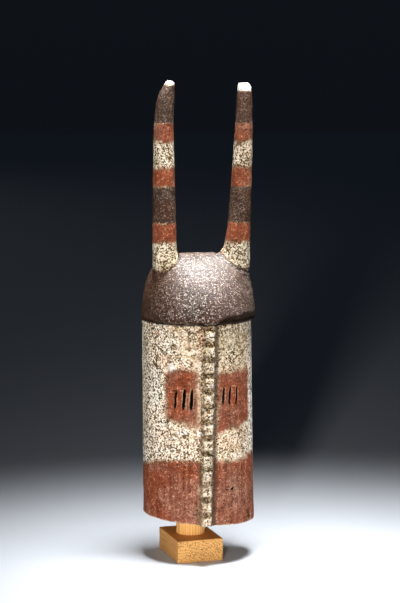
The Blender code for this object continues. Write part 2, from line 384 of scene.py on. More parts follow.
def scoops(across, along, width, length, seed):
    """Hollows side by side, as a blade leaves them: 0 in the middle of one, 1 at its rim."""
    grid = np.column_stack((across / width, along / length, np.full(len(across), 7.3 * seed)))
    return np.array([noise.voronoi(place)[0][0] for place in grid.tolist()]) ** 2


def ramp_up(values, low, high):
    """0 below low, 1 above high, and eased in between."""
    share = np.clip((values - low) / (high - low), 0.0, 1.0)
    return share * share * (3 - 2 * share)


def inside_panel(across, up, left, right, low, high, corner):
    """How far inside a panel with rounded corners each place is. It is below 0 outside."""
    side = np.abs(across - (left + right) / 2) - (right - left) / 2 + corner
    rise = np.abs(up - (low + high) / 2) - (high - low) / 2 + corner
    outside = np.hypot(np.maximum(side, 0), np.maximum(rise, 0))
    return corner - outside - np.minimum(np.maximum(side, rise), 0)


class MaskPlaces:
    """Where each point of the mask's surface is, in terms of the face, the crown and the horns."""

    def __init__(self, places):
        self.places = places
        self.x = places[:, 0] - MASK_MIDDLE_X
        self.y = places[:, 1] - MASK_MIDDLE_Y
        self.z = places[:, 2]
        share = np.clip((self.z - FACE_FOOT) / FACE_HEIGHT, 0.0, 1.0)
        half_width = (FACE_WIDTH_FOOT + (FACE_WIDTH_TOP - FACE_WIDTH_FOOT) * share) / 2
        self.across = self.x - FACE_LEAN * (0.5 - share)
        self.turn = np.arctan2(self.across / half_width, -self.y / FACE_DEPTH)
        self.arc = self.turn * FACE_DEPTH
        front = np.minimum(self.y, 0.0)
        self.reach = np.hypot(self.across / half_width, front / FACE_DEPTH)
        middle = RIDGE_FOOT_SHIFT + (RIDGE_TOP_SHIFT - RIDGE_FOOT_SHIFT) * share
        self.from_ridge = self.x - middle
        self.tooth = np.mod(share * RIDGE_TEETH, 1.0)
        self.crown_reach = self.find_crown_reach(front)
        self.find_horns()

    def find_crown_reach(self, front):
        """1 on the crown's outer surface, less inside it."""
        share = np.clip((self.z - CROWN_FOOT) / CROWN_HEIGHT, 0.0, 0.995)
        side = (1 - share**CROWN_SIDE_FULLNESS) ** (1 / CROWN_SIDE_FULLNESS)
        depth = (1 - share**CROWN_FRONT_FULLNESS) ** (1 / CROWN_FRONT_FULLNESS)
        half_width = CROWN_WIDTH / 2 * side * (1 - CROWN_TAPER * share)
        return np.hypot((self.x - CROWN_SHIFT) / half_width, front / (CROWN_DEPTH * depth))

    def find_horns(self):
        """How far each point is from the middle line of the nearer horn, and inside its foot."""
        best = np.full(len(self.x), 1.0)
        self.horn_way = np.zeros(len(self.x))
        self.horn_paint = np.full(len(self.x), -1.0)
        self.side = np.where(self.x < CROWN_SHIFT, -1, 1)
        for i, side in enumerate((-1, 1)):
            share = np.clip((self.z - CROWN_TOP) / HORN_HEIGHTS[i], 0.0, 1.0)
            middle_x = CROWN_SHIFT + side * HORN_SPREAD / 2
            middle_x = middle_x + HORN_LEANS[i] * share + HORN_TIP_TURNS[i] * share**6
            middle_y = HORN_SWEEP * share**2 - HORN_FORWARD
            from_x = self.x - middle_x
            from_y = (self.y - middle_y) / HORN_OVAL
            away = np.hypot(from_x, from_y)
            oval_x = (self.x - FOOT_PAINT_X[i]) / FOOT_PAINT_WIDE[i]
            oval_z = np.minimum(self.z - FOOT_PAINT_Z[i], 0.0) / FOOT_PAINT_TALL[i]
            in_oval = (1 - np.hypot(oval_x, oval_z)) * FOOT_PAINT_WIDE[i]
            nearer = away < best
            best = np.where(nearer, away, best)
            self.horn_way = np.where(nearer, np.arctan2(from_y, from_x), self.horn_way)
            self.horn_paint = np.where(nearer, in_oval, self.horn_paint)
        self.from_horn = best

    def hollow(self):
        """How far inside the hollow's bare wood a place is. It is below 0 on painted wood."""
        in_face = (FACE_HOLLOW - self.reach) * FACE_DEPTH
        in_crown = (CROWN_HOLLOW - self.crown_reach) * FACE_DEPTH
        inside = np.where(self.z < CROWN_FOOT, in_face, in_crown)
        return np.minimum(inside, CEILING - self.z)

    def horn(self):
        """How far a place is onto a horn. It is below 0 on the crown and the face."""
        over = self.z - HORN_FOOT
        return np.where(over > 0, np.maximum(over, self.horn_paint), self.horn_paint)


# The mask's relief


def carve_inside(spot, settings):
    """The height that the gouge leaves, inside the hollow."""
    long_cuts = scoops(spot.arc * 0.88, spot.z, width=0.0125, length=0.060, seed=1)
    round_cuts = scoops(spot.x, spot.y, width=0.013, length=0.013, seed=2)
    on_ceiling = ramp_up(spot.z, CEILING - 0.006, CEILING - 0.003)
    cuts = long_cuts * (1 - on_ceiling) + round_cuts * on_ceiling
    return settings.gouge_depth * (np.minimum(cuts, 1.2) - 0.3)


def carve_outside(spot, on_horn, settings):
    """The height of the facets that the blade leaves outside."""
    face_cuts = scoops(spot.arc, spot.z, width=0.011, length=0.042, seed=3)
    horn_cuts = scoops(spot.horn_way * HORN_RADIUS, spot.z, width=0.0085, length=0.030, seed=4)
    crown_cuts = scoops(spot.arc, spot.z * 1.3, width=0.012, length=0.016, seed=5)
    on_crown = ramp_up(spot.z, CROWN_FOOT - 0.002, CROWN_FOOT + 0.002) * (1 - on_horn)
    cuts = face_cuts * (1 - on_crown - on_horn) + crown_cuts * on_crown + horn_cuts * on_horn
    return settings.blade_depth * (np.minimum(cuts, 1.2) - 0.3)


def roughen(spot, settings):
    """The height of all that lies on the mask's surface: tool marks, grain, crust, pits, chips."""
    places = spot.places
    inside = ramp_up(spot.hollow(), -0.001, 0.002)
    outside = 1 - inside
    on_horn = ramp_up(spot.horn(), -0.002, 0.003)
    over_brow = ramp_up(spot.z, CROWN_FOOT - 0.001, CROWN_FOOT + 0.001)
    on_crown = over_brow * (1 - on_horn) * outside
    on_ridge = ramp_up(RIDGE_HALF_WIDTH - np.abs(spot.from_ridge), -0.002, 0.001)
    on_ridge *= ramp_up(spot.reach, 1.0, 1.02) * (spot.z < CROWN_FOOT)

    height = inside * carve_inside(spot, settings)
    height += outside * carve_outside(spot, on_horn, settings)
    upright_grain = places * np.array((1.0, 1.0, 0.07))
    height += 0.00009 * bumps(upright_grain, size=0.0020, seed=1) * (1 + inside)
    crust = bumps(places, size=0.0026, seed=2, octaves=2)
    height += settings.crust_depth * crust * outside * (1 - 0.3 * on_crown)
    height -= 0.00050 * ramp_up(bumps(places, size=0.0042, seed=3), 0.30, 0.60) * outside
    height += 0.0006 * bumps(places, size=0.028, seed=4) * outside
    chips = 0.0011 * bumps(places, size=0.0085, seed=5) + 0.0006 * bumps(places, size=0.0036, seed=6)
    return height + on_ridge * chips


def wave_brow(moved, spot):
    """Makes the brow's lower edge run unevenly."""
    near_lip = np.exp(-(((spot.z - CROWN_FOOT) / 0.004) ** 2)) * ramp_up(spot.reach, 0.97, 1.0)
    wave = 0.0016 * bumps(spot.places * np.array((1, 1, 0.3)), size=0.016, seed=9, octaves=2)
    moved[:, 2] += near_lip * np.clip(wave, -0.0014, 0.0014)


def fray_foot(moved, spot):
    """Makes the mask's foot ragged."""
    near_foot = 1 - ramp_up(spot.z, 0.074, 0.086)
    ragged = bumps(spot.places * np.array((1, 1, 0.15)), size=0.0075, seed=7, octaves=2)
    moved[:, 2] += near_foot * np.minimum(0.0011 * ragged, 0.0006)


def shake_slits(moved, spot):
    """Makes the eye slits' edges waver, as a knife leaves them."""
    near_slits = ramp_up(spot.z, SLITS_LOW - 0.001, SLITS_LOW + 0.006)
    near_slits *= 1 - ramp_up(spot.z, SLITS_HIGH - 0.002, SLITS_HIGH + 0.005)
    near_slits *= (np.abs(spot.turn) < math.radians(42)) & (np.abs(spot.from_ridge) > 0.016)
    shake = 0.00070 * bumps(spot.places, size=0.0038, seed=8) * near_slits
    moved[:, 0] += shake * np.cos(spot.turn)
    moved[:, 1] += shake * np.sin(spot.turn)


def wear_left_tip(moved, spot):
    """Rounds off the outer corner of the left horn's tip."""
    over = ramp_up(spot.z, LEFT_TIP_WORN_FROM, LEFT_TIP_TOP) ** 1.5
    outer = ramp_up(-np.cos(spot.horn_way), -0.5, 0.9)
    moved[:, 0] += np.where(spot.side < 0, LEFT_TIP_WEAR * over * outer, 0.0)


def cut_right_tip(moved, spot):
    """Cuts the right horn's tip off flat and a little rough."""
    raised = RIGHT_TIP_STRETCH * ramp_up(moved[:, 2], RIGHT_TIP_STRETCHED_FROM, 0.762)
    moved[:, 2] += np.where(spot.side > 0, raised, 0.0)
    cut = RIGHT_TIP_CUT + 0.0007 * bumps(moved, size=0.005, seed=10)
    over = (spot.side > 0) & (moved[:, 2] > cut)
    moved[:, 2] = np.where(over, cut + 0.12 * (moved[:, 2] - cut), moved[:, 2])


def carve_mask(piece, settings):
    """Lays the tool marks, the paint's crust, the pits and the wear over the mask's surface."""
    mesh = piece.data
    places = vertex_places(mesh)
    spot = MaskPlaces(places)
    moved = places + vertex_normals(mesh) * roughen(spot, settings)[:, None]
    for shape in (wave_brow, fray_foot, shake_slits, wear_left_tip, cut_right_tip):
        shape(moved, spot)
    move_vertices(mesh, moved)


# The mask's paint, with its painted shade and highlights, as numbers at each vertex


def wobble(places, coarse, fine, seed):
    """How far a brush wandered from its line at each place."""
    return coarse * bumps(places, 0.020, seed) + fine * bumps(places, 0.006, seed + 0.5)


def bands(z, ranges):
    """How far inside the nearest of some bands a height is."""
    inside = [np.minimum(z - low, high - z) for low, high in ranges]
    return np.max(inside, axis=0)


def arc_to(angle):
    """The length round the face's front to an angle in degrees."""
    return math.radians(angle) * FACE_DEPTH


def eye_patch(spot, patch, rise):
    """How far inside an eye patch each place is, where the brush went up or down by rise."""
    left, right, low, high = patch
    return inside_panel(spot.arc, spot.z + rise, arc_to(left), arc_to(right), low, high, PATCH_CORNER)


def red_zone(spot):
    """How far inside the red paint: an eye patch on each cheek, the face's foot, horn bands."""
    angle = np.degrees(spot.turn)
    arch = 0.007 * np.clip(1 - ((angle + 26) / 15) ** 2, -1.0, 1.0) * (spot.z > 0.28)
    left_slope = 0.007 * np.clip((angle + 26) / 18, -1.0, 1.0) * (spot.z < 0.26)
    right_slope = 0.006 * np.clip((30 - angle) / 20, -1.0, 1.0) * (spot.z < 0.26)
    left = eye_patch(spot, LEFT_PATCH, left_slope - arch)
    right = eye_patch(spot, RIGHT_PATCH, right_slope)
    far_left = ramp_up(-spot.turn, math.radians(50), math.radians(88))
    far_right = ramp_up(spot.turn, math.radians(44), math.radians(66))
    foot = FOOT_RED_TOP - 0.016 * far_left + 0.006 * far_right - spot.z
    on_cheek = np.abs(spot.from_ridge) - RIDGE_HALF_WIDTH
    face = np.minimum(np.maximum(np.maximum(left, right), foot), on_cheek + 0.001)
    face -= 0.0065 * stain(spot, -9, 0.276, 0.009, 0.055)
    face -= 0.003 * stain(spot, -7, 0.12, 0.004, 0.05)
    face = np.where(spot.z < CROWN_FOOT, face, OUTSIDE)
    horn = np.where(spot.horn() > 0, bands(spot.z, RED_BANDS), OUTSIDE)
    return np.maximum(face, horn) + wobble(spot.places, 0.0050, 0.0030, 11.0)


def black_zone(spot):
    """How far inside the black paint: the crown and the dark horn bands."""
    edge = wobble(spot.places, 0.0016, 0.0008, 12.0)
    crown = np.minimum(spot.z - CROWN_FOOT + 0.0012, -spot.horn())
    lower, (upper_foot, upper_top) = BLACK_BANDS
    upper_top = upper_top + np.where(spot.side < 0, LEFT_BLACK_RISE, 0.0)
    upper = np.minimum(spot.z - upper_foot, upper_top - spot.z)
    horn = np.minimum(np.maximum(bands(spot.z, (lower,)), upper), spot.horn())
    over_crown = spot.z > CROWN_TOP + 0.010
    return np.maximum(crown + 0.4 * edge, np.where(over_crown, horn + edge, OUTSIDE))


def stain(spot, angle, z, wide, tall):
    """1 in the middle of a stain on the face, less away from it. wide and tall are half sizes."""
    side = (spot.arc - arc_to(angle)) / wide
    rise = (spot.z - z) / tall
    return np.exp(-(side**2) - rise**2) * (spot.reach > 0.95) * (spot.z < CROWN_FOOT)


class RidgeParts:
    """How far each place is on the ridge's crest, in a notch, on a flank or in the seam beside it."""

    def __init__(self, spot):
        places = spot.places
        in_front = ramp_up(spot.reach, 0.97, 0.99) * (spot.z < CROWN_FOOT)
        away = spot.from_ridge + 0.0012 * bumps(places, size=0.007, seed=21)
        self.whole = ramp_up(RIDGE_HALF_WIDTH + 0.001 - np.abs(away), 0.0, 0.002) * in_front
        to_crest_edge = RIDGE_CREST_HALF_WIDTH + 0.0015 - np.abs(away)
        self.crest = ramp_up(to_crest_edge, 0.0, 0.0025) * self.whole
        self.left_flank = self.whole * (1 - self.crest) * (away < 0)
        self.right_flank = self.whole * (1 - self.crest) * (away > 0)
        # The band right of the ridge where its painted shadow goes
        self.right_seam_shadow = np.exp(-(((away - 0.0138) / 0.0028) ** 2)) * in_front
        tooth = spot.tooth + 0.22 * bumps(places, size=0.012, seed=22)
        self.notch = ramp_up(tooth, 0.50, 0.62) * (1 - ramp_up(tooth, 0.92, 1.02))
        blotch = bumps(places, size=0.0075, seed=25, octaves=2)
        self.blotch = ramp_up(blotch, 0.05, 0.50) * self.whole


def brow_painted_shade(spot):
    """1 on the dark band of painted shade along the brow's lower edge, which is taller on the right."""
    top = CROWN_FOOT + 0.003 + 0.015 * ramp_up(spot.x, 0.005, 0.045)
    top += 0.004 * bumps(spot.places, size=0.012, seed=28, octaves=2)
    rim = ramp_up(top - spot.z, 0.0, 0.004) * (spot.z > CROWN_FOOT - 0.003)
    return rim * ramp_up(spot.reach, 0.98, 1.0)


def crown_left_painted_shade(spot):
    """1 on the crown's left side, which gets painted shade and less gloss, and 0 in front and near the
    horns.
    """
    side = ramp_up(-spot.turn, math.radians(22), math.radians(70)) * (spot.z > CROWN_FOOT)
    return side * (1 - ramp_up(spot.z, 0.470, 0.500))


def cut_walls(spot, normals):
    """1 on the walls of the slits and the holes, inside the wood, which are painted near black as shade."""
    in_wall = ramp_up(0.996 - spot.reach, 0.0, 0.008) * ramp_up(spot.reach, 0.875, 0.885)
    in_wall *= (spot.z > 0.085) * (spot.z < CROWN_FOOT - 0.01) * (spot.y < -0.01)
    outwards = normals[:, 0] * np.sin(spot.turn) - normals[:, 1] * np.cos(spot.turn)
    slit = ramp_up(0.90 - outwards, 0.0, 0.22) * (spot.reach > 0.90) * (spot.reach < 1.02)
    slit *= (spot.z > SLITS_LOW) * (spot.z < SLITS_HIGH)
    slit *= (np.abs(spot.turn) < math.radians(38)) * (np.abs(spot.from_ridge) > 0.017)
    return np.maximum(in_wall, slit)


def grit(spot, ridge):
    """How strongly the dirt speckles the white paint."""
    far_left = ramp_up(-spot.turn, math.radians(38), math.radians(62))
    far_right = ramp_up(spot.turn, math.radians(50), math.radians(66))
    amount = 0.62 + 0.85 * np.maximum(far_left, far_right) + 0.45 * ridge.whole
    amount += 0.35 * bumps(spot.places, size=0.030, seed=23, octaves=2)
    amount += 0.30 * ramp_up(0.235 - spot.z, 0.0, 0.02) * (spot.turn < 0)
    amount += 0.45 * (1 - ramp_up(spot.z, 0.100, 0.130)) * ridge.whole
    return np.clip(np.where(spot.z > CROWN_FOOT, 1.0, amount), 0.3, 1.9)


def olive(spot, ridge):
    """Green-brown dirt: the ridge's left flank and notches, the right cheek, the horns. The stain
    just under the brow right of the ridge is partly dirt and partly painted shade.
    """
    amount = 0.75 * ridge.left_flank + 0.60 * ridge.crest * ridge.notch + 0.35 * ridge.crest
    amount += np.where(spot.z > CROWN_FOOT, 0.42, 0.0)
    # Just under the brow, right of the ridge: partly dirt, partly painted shade
    amount += 0.90 * stain(spot, 13, 0.372, 0.010, 0.022)
    amount += 0.55 * stain(spot, 36, 0.355, 0.030, 0.040)
    amount += 0.60 * stain(spot, 50, 0.115, 0.004, 0.018)
    return amount + 0.45 * stain(spot, -76, 0.300, 0.012, 0.070)


def rust_and_chip_shade(spot, ridge):
    """Red-brown stains, and the chip at the right end of the foot, darkened with painted shade."""
    flecks = ramp_up(bumps(spot.places, size=0.005, seed=27), 0.35, 0.6)
    amount = 0.80 * flecks * ridge.crest * (spot.z > 0.20)
    amount += 0.85 * stain(spot, -6.5, 0.373, 0.004, 0.020)
    amount += 1.00 * stain(spot, -57.6, 0.3783, 0.0035, 0.0035)
    amount += 0.90 * stain(spot, 0.2, 0.393, 0.0045, 0.0045)
    amount += 0.80 * stain(spot, -1, 0.2694, 0.003, 0.003)
    amount += 0.55 * stain(spot, 56, 0.172, 0.004, 0.016)
    amount += 0.35 * stain(spot, -50, 0.335, 0.012, 0.010)
    # The chip at the foot's right end: dark red-brown, raw wood with painted shade in it
    amount += 2.60 * stain(spot, 52.5, 0.076, 0.0045, 0.010)
    amount += 0.50 * stain(spot, -37, 0.137, 0.013, 0.034)
    amount += 0.55 * stain(spot, 22, 0.240, 0.014, 0.010)
    return amount + 0.50 * stain(spot, -24, 0.300, 0.012, 0.010)


def chalk_and_painted_highlight(spot, ridge):
    """Bright white: a few thick spots and the ridge's teeth; a painted highlight down the face's right
    edge; and the horns' tips, pale worn wood with a painted highlight of their lit tops.
    """
    thick = ramp_up(bumps(spot.places, size=0.006, seed=26, octaves=2), 0.30, 0.55)
    amount = 0.90 * thick * ridge.crest * (1 - ridge.notch)
    amount += 1.00 * stain(spot, -38, 0.3242, 0.005, 0.006)
    amount += 0.90 * stain(spot, -26.9, 0.2196, 0.005, 0.0025)
    amount += 0.90 * stain(spot, -9.7, 0.2202, 0.003, 0.003)
    # Painted highlight: a tall bright stripe down the face's right edge
    amount += 0.70 * stain(spot, 60, 0.270, 0.006, 0.080)
    # The horns' tips go pure white: pale worn wood, with a painted highlight of their lit tops
    tip_foot = np.where(spot.side < 0, *WHITE_TIPS)
    height = spot.z + 0.0015 * bumps(spot.places, size=0.004, seed=24)
    return amount + ramp_up(height, tip_foot, tip_foot + 0.001)


def soot_and_painted_shade(spot, ridge):
    """Darkening. Dirt: blotches on the ridge. Painted shade: the ridge's right flank and the seam
    beside it, lines along the right slits, the crown's left side, and the horns. Dirt and painted
    shade: the ridge's left flank and its notches. Also a dark spot at the left eye patch's lower
    corner and dark marks along the face's left edge.
    """
    # Painted shade on the ridge's right flank and in the seam right of it; dirt and painted shade on its
    # left flank and in its notches
    amount = 0.40 * ridge.left_flank + 0.92 * ridge.right_flank + 1.0 * ridge.right_seam_shadow
    amount += 0.40 * ridge.notch * ridge.whole + 0.50 * ridge.blotch
    amount += 0.80 * stain(spot, -43.6, 0.2323, 0.0025, 0.003)
    amount += 0.35 * stain(spot, -80, 0.30, 0.006, 0.12)
    amount += 0.60 * stain(spot, -89, 0.165, 0.005, 0.035)
    # Painted shade: dark lines along the right slits, longer than the cuts
    for angle in RIGHT_SLITS:
        amount += 0.80 * stain(spot, angle, 0.279, 0.0010, 0.020)
    # Painted shade on the crown's left side
    amount += 0.70 * crown_left_painted_shade(spot)
    # Painted shade up the horns, growing towards their tops and stronger on the right horn
    horn_painted_shade = 0.10 + 0.24 * ramp_up(spot.z, 0.500, 0.780) + 0.26 * (spot.side > 0)
    return amount + horn_painted_shade * (spot.horn() > 0)


def tan(spot):
    """Worn, faded paint: beside the ridge, under the eyes and near the foot."""
    amount = 1.00 * stain(spot, -10.5, 0.276, 0.0085, 0.060)
    amount += 0.85 * stain(spot, 30, 0.110, 0.045, 0.040)
    amount += 0.70 * stain(spot, -8, 0.125, 0.006, 0.050)
    amount += 0.50 * stain(spot, -26, 0.240, 0.016, 0.008)
    amount += 0.40 * stain(spot, 42, 0.272, 0.008, 0.030)
    amount += 0.75 * stain(spot, -20, 0.086, 0.036, 0.018)
    amount += 0.40 * stain(spot, -36, 0.205, 0.050, 0.028)
    return amount + 0.30 * stain(spot, 42, 0.205, 0.030, 0.025)


def paint_mask(piece):
    """Stores where each paint, stain, worn place, painted shade and painted highlight lies.
    Depths and rises are in millimetres.
    """
    mesh = piece.data
    places = vertex_places(mesh)
    normals = vertex_normals(mesh)
    spot = MaskPlaces(places)
    ridge = RidgeParts(spot)
    # Painted shade along the brow's lower edge
    rim = brow_painted_shade(spot)
    depths = {
        "fine_rise": ((places - eased(mesh, places, 4)) * normals).sum(1),
        "broad_rise": ((places - eased(mesh, places, 24)) * normals).sum(1),
        "red_zone": red_zone(spot),
        "black_zone": black_zone(spot),
        "bare_zone": spot.hollow() + wobble(places, 0.001, 0.0006, 13.0),
    }
    for name, depth in depths.items():
        store(mesh, name, depth / MILLIMETRE)
    sheen = np.where(spot.horn() > 0, 0.07, 0.88 - 0.70 * crown_left_painted_shade(spot))
    store(mesh, "gloss", sheen * (1 - rim))
    store(mesh, "grit", grit(spot, ridge))
    shares = {
        "painted_cut_and_brow_shade": np.maximum(cut_walls(spot, normals), 0.80 * rim),
        "olive": olive(spot, ridge),
        "rust_and_chip_shade": rust_and_chip_shade(spot, ridge),
        "chalk_and_painted_highlight": chalk_and_painted_highlight(spot, ridge),
        "soot_and_painted_shade": soot_and_painted_shade(spot, ridge),
        "tan": tan(spot),
    }
    for name, amount in shares.items():
        store(mesh, name, np.clip(amount, 0.0, 1.0))


# Materials


def spectrum(red, green, blue):
    """A colour for a shader from the numbers of a paint chart, 0 to 255."""
    parts = [channel / 255 for channel in (red, green, blue)]
    return tuple(part / 12.92 if part <= 0.04045 else ((part + 0.055) / 1.055) ** 2.4 for part in parts)


class Finish:
    """A material under way. Each call adds nodes to it and gives back the last one's output."""

    def __init__(self, name):
        self.material = bpy.data.materials.new(name)
        self.material.use_nodes = True
        self.tree = self.material.node_tree
        self.shader = self.tree.nodes["Principled BSDF"]
        self.places = self.add("ShaderNodeTexCoord").outputs["Object"]

    def add(self, kind, inputs=None, **settings):
        made = self.tree.nodes.new(kind)
        for key, value in settings.items():
            setattr(made, key, value)
        for key, value in (inputs or {}).items():
            self.feed(value, made.inputs[key])
        return made

    def feed(self, value, socket):
        """Links an output to a socket, or sets the socket's own value."""
        if isinstance(value, bpy.types.NodeSocket):
            self.tree.links.new(value, socket)
        else:
            socket.default_value = value

    def give(self, name, value):
        """Sets one of the shader's own inputs."""
        self.feed(value, self.shader.inputs[name])

    def mapped(self, places, **inputs):
        """Places moved, turned or stretched."""
        return self.add("ShaderNodeMapping", {"Vector": places, **inputs}).outputs["Vector"]

    def along(self, places, axis, stretch):
        """Places for a pattern that is drawn out along one axis."""
        scale = [1.0, 1.0, 1.0]
        scale[axis] = 1 / stretch
        return self.mapped(places, Scale=tuple(scale))

    def noise(self, size, detail=2.0, rough=0.55, places=None):
        inputs = {
            "Vector": places or self.places,
            "Scale": 1 / size,
            "Detail": detail,
            "Roughness": rough,
        }
        return self.add("ShaderNodeTexNoise", inputs).outputs["Fac"]

    def speckles(self, size):
        """A chance number from 0 to 1 in each of many small cells."""
        made = self.add("ShaderNodeTexVoronoi", {"Vector": self.places, "Scale": 1 / size})
        parts = self.add("ShaderNodeSeparateColor", {"Color": made.outputs["Color"]})
        return parts.outputs["Red"]

    def sum_of(self, parts, start=0.0):
        """Several outputs, each by its own share, added up."""
        total = start
        for value, share in parts:
            total = self.math("MULTIPLY_ADD", value, share, total)
        return total

    def stored(self, name):
        return self.add("ShaderNodeAttribute", attribute_name=name).outputs["Fac"]

    def math(self, operation, first, second, third=0.0):
        made = self.add("ShaderNodeMath", {0: first, 1: second}, operation=operation)
        if operation == "MULTIPLY_ADD":
            self.feed(third, made.inputs[2])
        return made.outputs[0]

    def spread(self, value, low, high, to_low=0.0, to_high=1.0):
        """A value eased from one range into another."""
        inputs = {"Value": value, "From Min": low, "From Max": high, "To Min": to_low, "To Max": to_high}
        return self.add("ShaderNodeMapRange", inputs, interpolation_type="SMOOTHSTEP").outputs["Result"]

    def ramp(self, value, *stops):
        """A colour read off a row of stops, each a place and its colour."""
        made = self.add("ShaderNodeValToRGB", {"Fac": value})
        points = made.color_ramp.elements
        while len(points) < len(stops):
            points.new(1.0)
        for point, (place, colour) in zip(points, stops):
            point.position = place
            point.color = (*colour, 1.0)
        return made.outputs["Color"]

    def mix(self, share, first, second, blend="MIX"):
        made = self.add("ShaderNodeMix", data_type="RGBA", blend_type=blend)
        for value, socket in ((share, made.inputs[0]), (first, made.inputs[6]), (second, made.inputs[7])):
            if isinstance(value, tuple) and len(value) == 3:
                value = (*value, 1.0)
            self.feed(value, socket)
        return made.outputs[2]

    def lay(self, under, share, most, over, blend="MIX"):
        """A colour laid over another one by a share, and never by more than most of it."""
        return self.mix(self.math("MULTIPLY", share, most), under, over, blend)

    def zone(self, name, ragged, raggedness, soft):
        """1 inside a stored zone and 0 outside, its edge broken up by a noise."""
        value = self.math("MULTIPLY_ADD", ragged, raggedness, self.stored(name))
        return self.spread(value, -soft, soft)

    def bump(self, height, strength, distance):
        """Small relief on the shader's normal."""
        inputs = {"Height": height, "Strength": strength, "Distance": distance}
        normal = self.add("ShaderNodeBump", inputs).outputs["Normal"]
        self.give("Normal", normal)
        return normal


def scaled(colour, amount):
    return tuple(min(1.0, channel * amount) for channel in colour)


def between(first, second, share):
    return tuple(a + (b - a) * share for a, b in zip(first, second))


class PaintGrain:
    """The patterns, from fine to coarse, that all the mask's paints share."""

    def __init__(self, finish):
        self.cell = finish.speckles(0.0023)
        self.small_cell = finish.speckles(0.0014)
        self.speck = finish.noise(0.0030, 3.0, 0.65)
        self.grain = finish.noise(0.0017, 2.0, 0.6)
        self.patch = finish.noise(0.0095, 3.0, 0.6)
        self.mottle = finish.noise(0.019, 3.0, 0.55)
        self.broad = finish.noise(0.060, 2.0, 0.5)
        self.fine_rise = finish.stored("fine_rise")
        self.broad_rise = finish.stored("broad_rise")
        self.ragged = finish.sum_of(((self.cell, 3.2), (self.speck, 5.0), (self.patch, 2.0)), -5.1)


def white_paint(finish, on, settings):
    """Chalky white, speckled with dirt, with olive, rust, worn and thick white places, and with
    painted highlights on the face's right edge and the horns' tips.
    """
    dirt = tuple(settings.dirt)
    white = tuple(settings.white_paint)
    specks = finish.sum_of(
        ((on.cell, 0.80), (on.speck, 1.40), (on.small_cell, 0.34), (on.fine_rise, 0.35)), -1.27
    )
    specks = finish.math("MULTIPLY", specks, finish.stored("grit"))
    lift = finish.sum_of(((specks, 1.10), (on.patch, 0.62), (on.mottle, 0.34)), 0.03)
    clean = finish.ramp(
        lift,
        (0.20, dirt),
        (0.34, between(dirt, white, 0.26)),
        (0.46, between(dirt, white, 0.66)),
        (0.56, white),
        (0.72, between(white, (1.0, 0.97, 0.88), 0.85)),
    )
    clean = finish.lay(clean, finish.spread(on.broad, 0.40, 0.62), 0.5, (1.0, 0.86, 0.72), "MULTIPLY")
    olive_dirt = finish.ramp(
        lift,
        (0.22, scaled(dirt, 1.1)),
        (0.40, spectrum(124, 100, 62)),
        (0.56, spectrum(180, 154, 108)),
        (0.74, spectrum(236, 220, 182)),
    )
    rust_stain = finish.ramp(
        lift, (0.26, spectrum(84, 38, 16)), (0.5, spectrum(164, 92, 46)), (0.74, spectrum(230, 184, 136))
    )
    thick_white_and_highlight = finish.ramp(
        lift, (0.16, spectrum(100, 86, 72)), (0.30, spectrum(228, 216, 204)), (0.44, spectrum(255, 252, 248))
    )
    colour = finish.mix(finish.stored("olive"), clean, olive_dirt)
    colour = finish.mix(finish.stored("rust_and_chip_shade"), colour, rust_stain)
    colour = finish.lay(colour, finish.stored("tan"), 0.45, spectrum(176, 132, 98))
    return finish.mix(finish.stored("chalk_and_painted_highlight"), colour, thick_white_and_highlight)


def red_paint(finish, on, settings):
    """Red earth, streaked down the wood, paler where it is broad or worn, with pale flecks."""
    red = tuple(settings.red_paint)
    streaks = finish.noise(0.0040, 3.0, 0.6, places=finish.along(finish.places, 2, 12.0))
    lift = finish.sum_of(
        (
            (on.cell, 0.15), (on.speck, 0.42), (on.small_cell, 0.10),
            (streaks, 0.42), (on.patch, 0.42), (on.fine_rise, 0.2),
        ),
        -0.255,
    )
    deep = finish.ramp(
        lift,
        (0.24, scaled(red, 0.24)),
        (0.40, scaled(red, 0.66)),
        (0.52, red),
        (0.66, scaled(red, 1.5)),
        (0.82, spectrum(200, 146, 112)),
    )
    pale = finish.ramp(
        lift, (0.28, spectrum(76, 44, 32)), (0.50, spectrum(134, 90, 72)), (0.74, spectrum(190, 150, 126))
    )
    colour = finish.mix(finish.spread(on.broad, 0.42, 0.62, 0.0, 0.48), deep, pale)
    colour = finish.lay(colour, finish.stored("tan"), 0.85, pale)
    # Rust stains darken the red; at the chip by the foot this darkening is painted shade
    colour = finish.lay(colour, finish.stored("rust_and_chip_shade"), 0.95, scaled(red, 0.50))
    dirty = finish.spread(finish.stored("olive"), 0.42, 0.9, 0.0, 0.6)
    colour = finish.mix(dirty, colour, spectrum(120, 100, 66))
    fleck = finish.spread(finish.math("MULTIPLY_ADD", on.patch, 0.8, on.small_cell), 1.32, 1.42)
    return finish.lay(colour, fleck, 0.6, spectrum(216, 176, 148))


def black_paint(finish, on, settings):
    """Brown-black with pale dust, which lies thickest where the paint shines."""
    black = tuple(settings.black_paint)
    lift = finish.sum_of(
        ((on.cell, 0.16), (on.speck, 0.50), (on.grain, 0.40), (on.patch, 0.30), (on.fine_rise, 0.2)), -0.18
    )
    colour = finish.ramp(
        lift,
        (0.34, scaled(black, 0.25)),
        (0.50, black),
        (0.62, scaled(black, 2.2)),
        (0.74, spectrum(140, 112, 92)),
    )
    reddish = finish.spread(on.broad, 0.42, 0.62, 0.0, 0.35)
    colour = finish.mix(reddish, colour, scaled(settings.red_paint, 0.30))
    dust = finish.spread(finish.math("MULTIPLY_ADD", on.patch, 0.4, finish.speckles(0.0012)), 1.07, 1.12)
    dust_share = finish.spread(finish.stored("gloss"), 0.05, 0.80, 0.34, 0.80)
    return finish.mix(finish.math("MULTIPLY", dust, dust_share), colour, spectrum(214, 200, 184))


